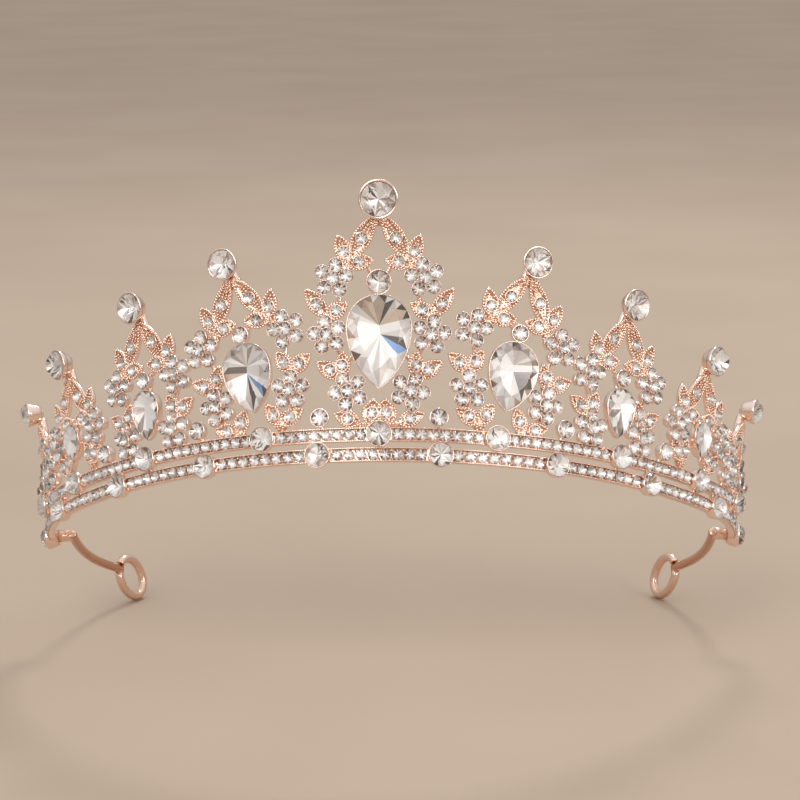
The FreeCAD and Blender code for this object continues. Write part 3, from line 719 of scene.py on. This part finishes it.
def middle_peak():
    peak = Peak(50.1, 35.8)
    peak.crest(6.1, 8.1)
    crystal = peak.pear(6.5, 9.4, 13.1)
    drop = peak.drop(9.8, 13.1, 3.2)
    peak.branch((7.0, 24.0), 112, 34)
    peak.flower((6.5, 26.9), 18)
    peak.links((1.9, 13.2), (0.8, drop - 1.0))
    peak.links((7.6, 17.9), (6.2, 21.8), (7.0, 24.0), (6.5, 26.9), (3.2, 25.0))
    peak.links((6.2, 27.5), root(peak, 6.2))
    return peak, crystal


def outer_peak():
    peak = Peak(75.4, 30.0)
    peak.crest(6.0, 7.9, 2)
    crystal = peak.pear(5.4, 6.9, 12.8)
    peak.branch((5.0, 22.8), 108, 44)
    peak.links((1.2, 12.7), (1.0, 14.4))
    peak.links((7.4, 17.6), (6.8, 21.0), (5.0, 22.8), (2.4, 20.4))
    peak.links((5.0, 22.8), root(peak, 5.0))
    return peak, crystal


def end_peak():
    peak = Peak(96.5, 25.2)
    peak.crest(5.0, 7.4)
    peak.leaf((1.4, 18.9), 95, 5.2)
    peak.links((1.4, 13.0), (1.2, 15.0), (1.5, 18.8), root(peak, 1.5))
    peak.links((7.4, 15.6), root(peak, 7.4))
    return peak, None


# ---------------------------------------------------------------- rails

def both_sides(places):
    return sorted({side * place for place in places for side in (-1, 1)})


LOWER_CUPS = both_sides([BAY * (n + 0.5) for n in range(5)])
UPPER_CUPS = both_sides((0, 23.2, 51.2, 76.0, 96.4))
VALLEY_CUPS = both_sides((11.5, 37.6, 63.9))


def pave_places(cups, half_length):
    """Places of the small stones, in a list for each stretch between large cups."""
    radius = LARGE / 2 + LARGE_WALL
    stretches = [(a + radius, b - radius) for a, b in zip(cups, cups[1:])]
    if half_length - cups[-1] - radius > PAVE_CLOSEST:
        stretches.append((cups[-1] + radius, half_length))
        stretches.insert(0, (-half_length, cups[0] - radius))
    places = []
    for start, end in stretches:
        room = end - start
        count = min(int(room / PAVE_CLOSEST), math.ceil(room / PAVE_WIDEST))
        places.append([start + room * (n + 0.5) / count for n in range(count)])
    return places


def rail(half_length, up, cups):
    """Channel with beaded edges, its large cups, and the two sets of stones."""
    casting = Casting()
    tall, slot, face, floor = RAIL_HEIGHT / 2, SLOT / 2, RAIL_FACE, CHANNEL_FLOOR
    upper = [(tall - 0.15, 0), (tall, 0.15), (tall, face - 0.15), (tall - 0.08, face),
             (slot + 0.05, face), (slot, face - 0.1), (slot - 0.03, floor)]
    section = [(0.15 - tall, 0)] + upper + [(-y, z) for y, z in upper[:0:-1]]
    slot_sides = (6, 7, 8)
    stations = np.linspace(-half_length, half_length, int(half_length / 0.9))
    rings = [[section_point(along, up, y, z) for y, z in section] for along in stations]
    # the slot's walls are painted with half shade
    casting.metal.add(stacked(rings, False, half_shade_sides=slot_sides))
    bead, proud, spacing = 0.18, 0.03, 0.44
    edge = tall - bead + proud
    spots = [s for s in np.arange(-half_length + 0.2, half_length, spacing)
             if min(abs(s - c) for c in cups) > LARGE / 2]
    for side in (-1, 1):
        row = [section_point(along, up, side * edge, face) for along in spots]
        bead_row(casting.metal, row, bead)
    bore = LARGE + 0.2
    for along in cups:
        casting.cup("large", frame_at(along, up), bore, LARGE_WALL, LARGE_DEPTH, 44)
    for stretch in pave_places(cups, half_length):
        for along in stretch:
            place = frame_at(along, up, SLOT_FLOOR)
            rim = place @ shift(0, 0, GIRDLE * PAVE / 2)
            casting.stone("small", PAVE, rim)
        for a, b in zip(stretch, stretch[1:]):
            prongs = [section_point((a + b) / 2, up, offset, face - 0.04) for offset in (-0.8, 0.8)]
            bead_row(casting.metal, prongs, 0.26)
    return casting


def post(along, low, high):
    path = [point_on(along, low + (high - low) * t, POST_LIFT) for t in (0, 0.5, 1)]
    return tube(path, POST_RADIUS, 12, 0.02)


def posts():
    """Bars that hold the rails together, at every large cup but the lower rail's last ones."""
    shape = Shape()
    overlap = 0.1
    edge = LARGE / 2 + LARGE_WALL - overlap
    for along in LOWER_CUPS[1:-1]:
        shape.add(post(along, edge, RAIL_SPACING - RAIL_HEIGHT / 2 + overlap))
    for along in UPPER_CUPS:
        shape.add(post(along, RAIL_HEIGHT / 2 - overlap, RAIL_SPACING - edge))
    return shape


def valleys():
    """The single cups between the peaks."""
    casting = Casting()
    for along in VALLEY_CUPS:
        casting.cup("valley", frame_at(along, VALLEY_UP), VALLEY, VALLEY_WALL, VALLEY_DEPTH, 32)
        casting.link((along, ROOT_UP), (along, VALLEY_UP - 1.0))
    return casting


# ---------------------------------------------------------------- end wires

PEG_FOOT = (LOWER_ARC - PEG_INSET, 0, -PEG_LENGTH)


def end_wire():
    """One bent rod: the arm, a close bend, and the eye whose end closes against the arm."""
    start = point_on(*PEG_FOOT)
    bends = np.linspace(-ARM_OVERLAP / ARM_RADIUS, ARM_LENGTH / ARM_RADIUS, ARM_STEPS)
    dips = ARM_DIP * np.sin(np.linspace(0, math.pi, ARM_STEPS))
    arm = [start + ARM_RADIUS * np.array((math.cos(a) - 1, math.sin(a), 0)) - (0, 0, dip)
           for a, dip in zip(bends, dips)]
    end = arm[-1]
    level = np.array((-math.cos(EYE_TURN), math.sin(EYE_TURN), 0))
    upward = np.array((0.0, 0.0, 1.0))
    centre = end + level * math.sqrt(EYE_RADIUS ** 2 - EYE_DROP ** 2) - EYE_DROP * upward
    first = math.pi - math.asin(EYE_DROP / EYE_RADIUS)

    def on_ring(angle):
        rise = EYE_SQUASH * EYE_RADIUS * math.sin(angle)
        return centre + (EYE_RADIUS * math.cos(angle) - EYE_LEAN * rise) * level + rise * upward

    eye = [on_ring(first + a) for a in np.radians(np.arange(16, 346, 8))]
    bend = end + 0.16 * (eye[0] - end) + 0.1 * level
    # the whole arm is painted with shade, so it renders darker than the eye of the same rod
    return tube(arm[:-2] + [bend] + eye, WIRE_RADIUS, 20, 0.12, shade_levels=range(ARM_STEPS))


def end_peg():
    bevel = 0.15
    profile = [(0, 0), (PEG_RADIUS - bevel, 0), (PEG_RADIUS, bevel), (PEG_RADIUS, PEG_LENGTH),
               (0, PEG_LENGTH)]
    return Shape().add(lathe(profile, 28), frame_at(*PEG_FOOT))


# ---------------------------------------------------------------- materials

def new_material(name):
    material = bpy.data.materials.new(name)
    material.use_nodes = True
    nodes = material.node_tree.nodes
    return material, nodes, material.node_tree.links, nodes["Principled BSDF"]


def noise(nodes, links, scale, detail=3.0):
    """Noise that is fixed to the piece."""
    place = nodes.new("ShaderNodeTexCoord")
    texture = nodes.new("ShaderNodeTexNoise")
    texture.inputs["Scale"].default_value = scale
    texture.inputs["Detail"].default_value = detail
    links.new(place.outputs["Object"], texture.inputs["Vector"])
    return texture


def ramp(nodes, links, source, stops):
    """Colour that goes through (position, colour) stops with the source's value."""
    node = nodes.new("ShaderNodeValToRGB")
    node.color_ramp.elements[0].position, node.color_ramp.elements[0].color = stops[0]
    node.color_ramp.elements[1].position, node.color_ramp.elements[1].color = stops[-1]
    for position, colour in stops[1:-1]:
        node.color_ramp.elements.new(position).color = colour
    links.new(source, node.inputs["Fac"])
    return node.outputs["Color"]


def tint_colour(nodes):
    """The tint painted on each face: painted shade on metal, painted reflections on stones' facets.
    """
    tint = nodes.new("ShaderNodeAttribute")
    tint.attribute_name = "tint"
    return tint.outputs["Color"]


def rose_gold(name, light, dark, rough, bump):
    """Plated metal: warm tone that drifts slightly, micro wear in its gloss, faint cast grain."""
    material, nodes, links, shader = new_material(name)
    shader.inputs["Metallic"].default_value = 1.0
    tone = ramp(nodes, links, noise(nodes, links, 260).outputs["Fac"],
                [(0.3, dark), (0.7, light)])
    # each face's tint multiplies the tone: painted shade in hollows, crevices, bead feet and the
    # wire's arm
    shade_mix = nodes.new("ShaderNodeMix")
    shade_mix.data_type, shade_mix.blend_type = "RGBA", "MULTIPLY"
    shade_mix.inputs["Factor"].default_value = 1.0
    links.new(tone, shade_mix.inputs["A"])
    links.new(tint_colour(nodes), shade_mix.inputs["B"])
    links.new(shade_mix.outputs["Result"], shader.inputs["Base Color"])
    polished, worn = (rough * 0.75,) * 3 + (1,), (rough * 1.3,) * 3 + (1,)
    wear = ramp(nodes, links, noise(nodes, links, 1900, 5).outputs["Fac"],
                [(0.3, polished), (0.7, worn)])
    links.new(wear, shader.inputs["Roughness"])
    grain = nodes.new("ShaderNodeBump")
    grain.inputs["Strength"].default_value = bump
    grain.inputs["Distance"].default_value = 0.00004
    links.new(noise(nodes, links, 2600, 4).outputs["Fac"], grain.inputs["Height"])
    links.new(grain.outputs["Normal"], shader.inputs["Normal"])
    return material


def crystal():
    """Clear crown of a stone, each facet tinted with a painted reflection."""
    material, nodes, links, shader = new_material("clear_crystal")
    shader.inputs["Roughness"].default_value = 0.0
    shader.inputs["IOR"].default_value = 1.5
    shader.inputs["Transmission Weight"].default_value = 1.0
    # each crown facet's tint is a painted reflection, greying some facets
    links.new(tint_colour(nodes), shader.inputs["Base Color"])
    return material


def foil():
    """Back of a stone, whose facets are painted with reflections that stand for what a cut stone
    reflects.
    """
    material, nodes, links, shader = new_material("crystal_foil")
    shader.inputs["Metallic"].default_value = 0.5
    shader.inputs["Roughness"].default_value = 0.3
    # each facet's tint is a painted reflection: glint, pale, grey and dark facets
    links.new(tint_colour(nodes), shader.inputs["Base Color"])
    return material


# ---------------------------------------------------------------- pieces

def make_piece(name, shape, materials, node):
    """A shape in metres as the tiara is worn, in place of one CAD node."""
    points, loops, totals, material, tints, smooth = shape.packed().parts[0]
    c, s = math.cos(TILT), math.sin(TILT)
    points = points @ np.array(((1, 0, 0), (0, c, -s), (0, s, c))).T * MILLIMETRE
    mesh = bpy.data.meshes.new(name)
    mesh.vertices.add(len(points))
    mesh.vertices.foreach_set("co", points.astype(np.float32).ravel())
    mesh.loops.add(len(loops))
    mesh.loops.foreach_set("vertex_index", loops.astype(np.int32))
    mesh.polygons.add(len(totals))
    mesh.polygons.foreach_set("loop_start", (np.cumsum(totals) - totals).astype(np.int32))
    mesh.polygons.foreach_set("material_index", material.astype(np.int32))
    mesh.polygons.foreach_set("use_smooth", smooth)
    mesh.update(calc_edges=True)
    colours = np.concatenate((tints, np.ones((len(tints), 1))), axis=1)
    attribute = mesh.attributes.new("tint", "FLOAT_COLOR", "FACE")
    attribute.data.foreach_set("color", colours.astype(np.float32).ravel())
    for item in materials:
        mesh.materials.append(item)
    piece = bpy.data.objects.new(name, mesh)
    bpy.context.scene.collection.objects.link(piece)
    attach(piece, "root")
    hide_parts(node)
    return piece


CAST = rose_gold("rose_gold_cast", (1.0, 0.82, 0.72, 1), (0.97, 0.75, 0.64, 1), 0.15, 0.2)
WIRE = rose_gold("rose_gold_wire", (0.92, 0.66, 0.53, 1), (0.87, 0.60, 0.47, 1), 0.2, 0.02)
STONE = [crystal(), foil()]


def metal(name, shape, node):
    make_piece(name, shape, [CAST], node)


def stones(name, shape, node):
    piece = make_piece(name, shape, STONE, node)
    piece.visible_shadow = False  # so the lamps reach the foil through the crown


for name, half_length, up, cups in (("lower_rail", LOWER_ARC, 0, LOWER_CUPS),
                                    ("upper_rail", UPPER_ARC, RAIL_SPACING, UPPER_CUPS)):
    strip = rail(half_length, up, cups)
    metal(name + "_channel", strip.metal, name)
    stones(name + "_large_stones", strip.stones["large"], name + "_crystals")
    stones(name + "_pave", strip.stones["small"], name + "_chatons")
metal("solder_posts", posts(), "rail_posts")
dimples = valleys()
metal("valley_bezels", dimples.metal, "valley_cups")
stones("valley_stones", dimples.stones["valley"], "valley_crystals")
for side in ("_right", "_left"):
    make_piece("wire" + side, sided(end_wire(), side), [WIRE], "end_wire" + side)
    make_piece("peg" + side, sided(end_peg(), side), [WIRE], "end_peg" + side)

# the stones that every peak shares are one piece of each kind
shared = {"heart": Shape(), "top": Shape(), "drop": Shape()}
for name, maker in (("centre", centre_peak), ("inner", inner_peak), ("middle", middle_peak),
                    ("outer", outer_peak), ("end", end_peak)):
    for side in ("",) if name == "centre" else ("_right", "_left"):
        peak, pear = maker(side) if maker is inner_peak else maker()
        metal(f"{name}_casting{side}", sided(peak.metal, side), f"{name}_peak{side}")
        for kind, shape in peak.stones.items():
            if kind in shared:
                shared[kind].add(sided(shape, side))
            else:
                stones(f"{name}_{kind}_cut{side}", sided(shape, side), f"{name}_{kind}{side}")
        if pear:
            stones(f"{name}_pear_cut{side}", sided(pear, side), f"{name}_pear_crystal{side}")
stones("heart_stones_cut", shared["heart"], "flower_heart_stones")
stones("top_stones_cut", shared["top"], "top_crystals")
stones("drop_stones_cut", shared["drop"], "drop_crystals")


# ---------------------------------------------------------------- stage, lights, camera

FLOOR_SIDE, FLOOR_GAP = 12.0, 0.0002
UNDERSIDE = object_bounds()[0].z


def add_floor():
    """Warm paper under the tiara, far enough behind it to fill the picture."""
    side = FLOOR_SIDE
    mesh = bpy.data.meshes.new("floor")
    corners = [(-side, -side / 3, 0), (side, -side / 3, 0), (side, side * 2, 0),
               (-side, side * 2, 0)]
    mesh.from_pydata(corners, [], [(0, 1, 2, 3)])
    floor = bpy.data.objects.new("floor", mesh)
    floor.location.z = UNDERSIDE - FLOOR_GAP
    bpy.context.scene.collection.objects.link(floor)
    material, nodes, links, shader = new_material("warm_paper")
    tone = noise(nodes, links, 9, 2)
    links.new(ramp(nodes, links, tone.outputs["Fac"],
                   [(0.3, (0.43, 0.33, 0.25, 1)), (0.7, (0.46, 0.36, 0.275, 1))]),
              shader.inputs["Base Color"])
    shader.inputs["Roughness"].default_value = 0.9
    mesh.materials.append(material)


def add_lamp(name, place, target, width, power):
    data = bpy.data.lights.new(name, "AREA")
    data.shape = "DISK"
    data.size = width
    data.energy = power
    lamp = bpy.data.objects.new(name, data)
    lamp.location = place
    lamp.rotation_euler = (Vector(target) - Vector(place)).to_track_quat("-Z", "Y").to_euler()
    bpy.context.scene.collection.objects.link(lamp)


def add_camera():
    """A long lens in front of the tiara and a little above it, with a slight roll."""
    data = bpy.data.cameras.new("camera")
    data.lens = 125.6
    data.sensor_width = 36.0
    camera = bpy.data.objects.new("camera", data)
    back = Vector((0.034, -0.979, 0.205)).normalized()
    right = Vector((0.999, 0.031, -0.0115))
    right = (right - back * right.dot(back)).normalized()
    axes = Matrix((right, back.cross(right), back)).transposed().to_4x4()
    place = (0.0230, -0.5979, 0.1560)
    camera.matrix_world = Matrix.Translation(place) @ axes
    bpy.context.scene.collection.objects.link(camera)
    bpy.context.scene.camera = camera


def add_world():
    """Soft studio: white overhead, dimming to a warm grey at the horizon and below."""
    world = bpy.data.worlds.new("studio")
    world.use_nodes = True
    nodes, links = world.node_tree.nodes, world.node_tree.links
    direction = nodes.new("ShaderNodeTexCoord")
    axes = nodes.new("ShaderNodeSeparateXYZ")
    links.new(direction.outputs["Generated"], axes.inputs["Vector"])
    sky = ramp(nodes, links, axes.outputs["Z"],
               [(0.0, (0.42, 0.40, 0.38, 1)), (0.35, (0.62, 0.61, 0.60, 1)), (0.9, (1, 1, 1, 1))])
    links.new(sky, nodes["Background"].inputs["Color"])
    nodes["Background"].inputs["Strength"].default_value = 0.9
    bpy.context.scene.world = world


add_floor()
add_world()
FRONT_OF_TIARA = (0, -0.03, 0.02)
add_lamp("key", (-0.35, -1.0, 0.75), FRONT_OF_TIARA, 0.65, 5.8)
add_lamp("fill", (0.6, -0.65, 0.40), FRONT_OF_TIARA, 0.45, 2.4)
add_lamp("back", (0.1, 0.6, 0.7), (0, 0, 0.02), 0.2, 2.2)
add_camera()
bpy.context.scene.view_settings.view_transform = "Standard"
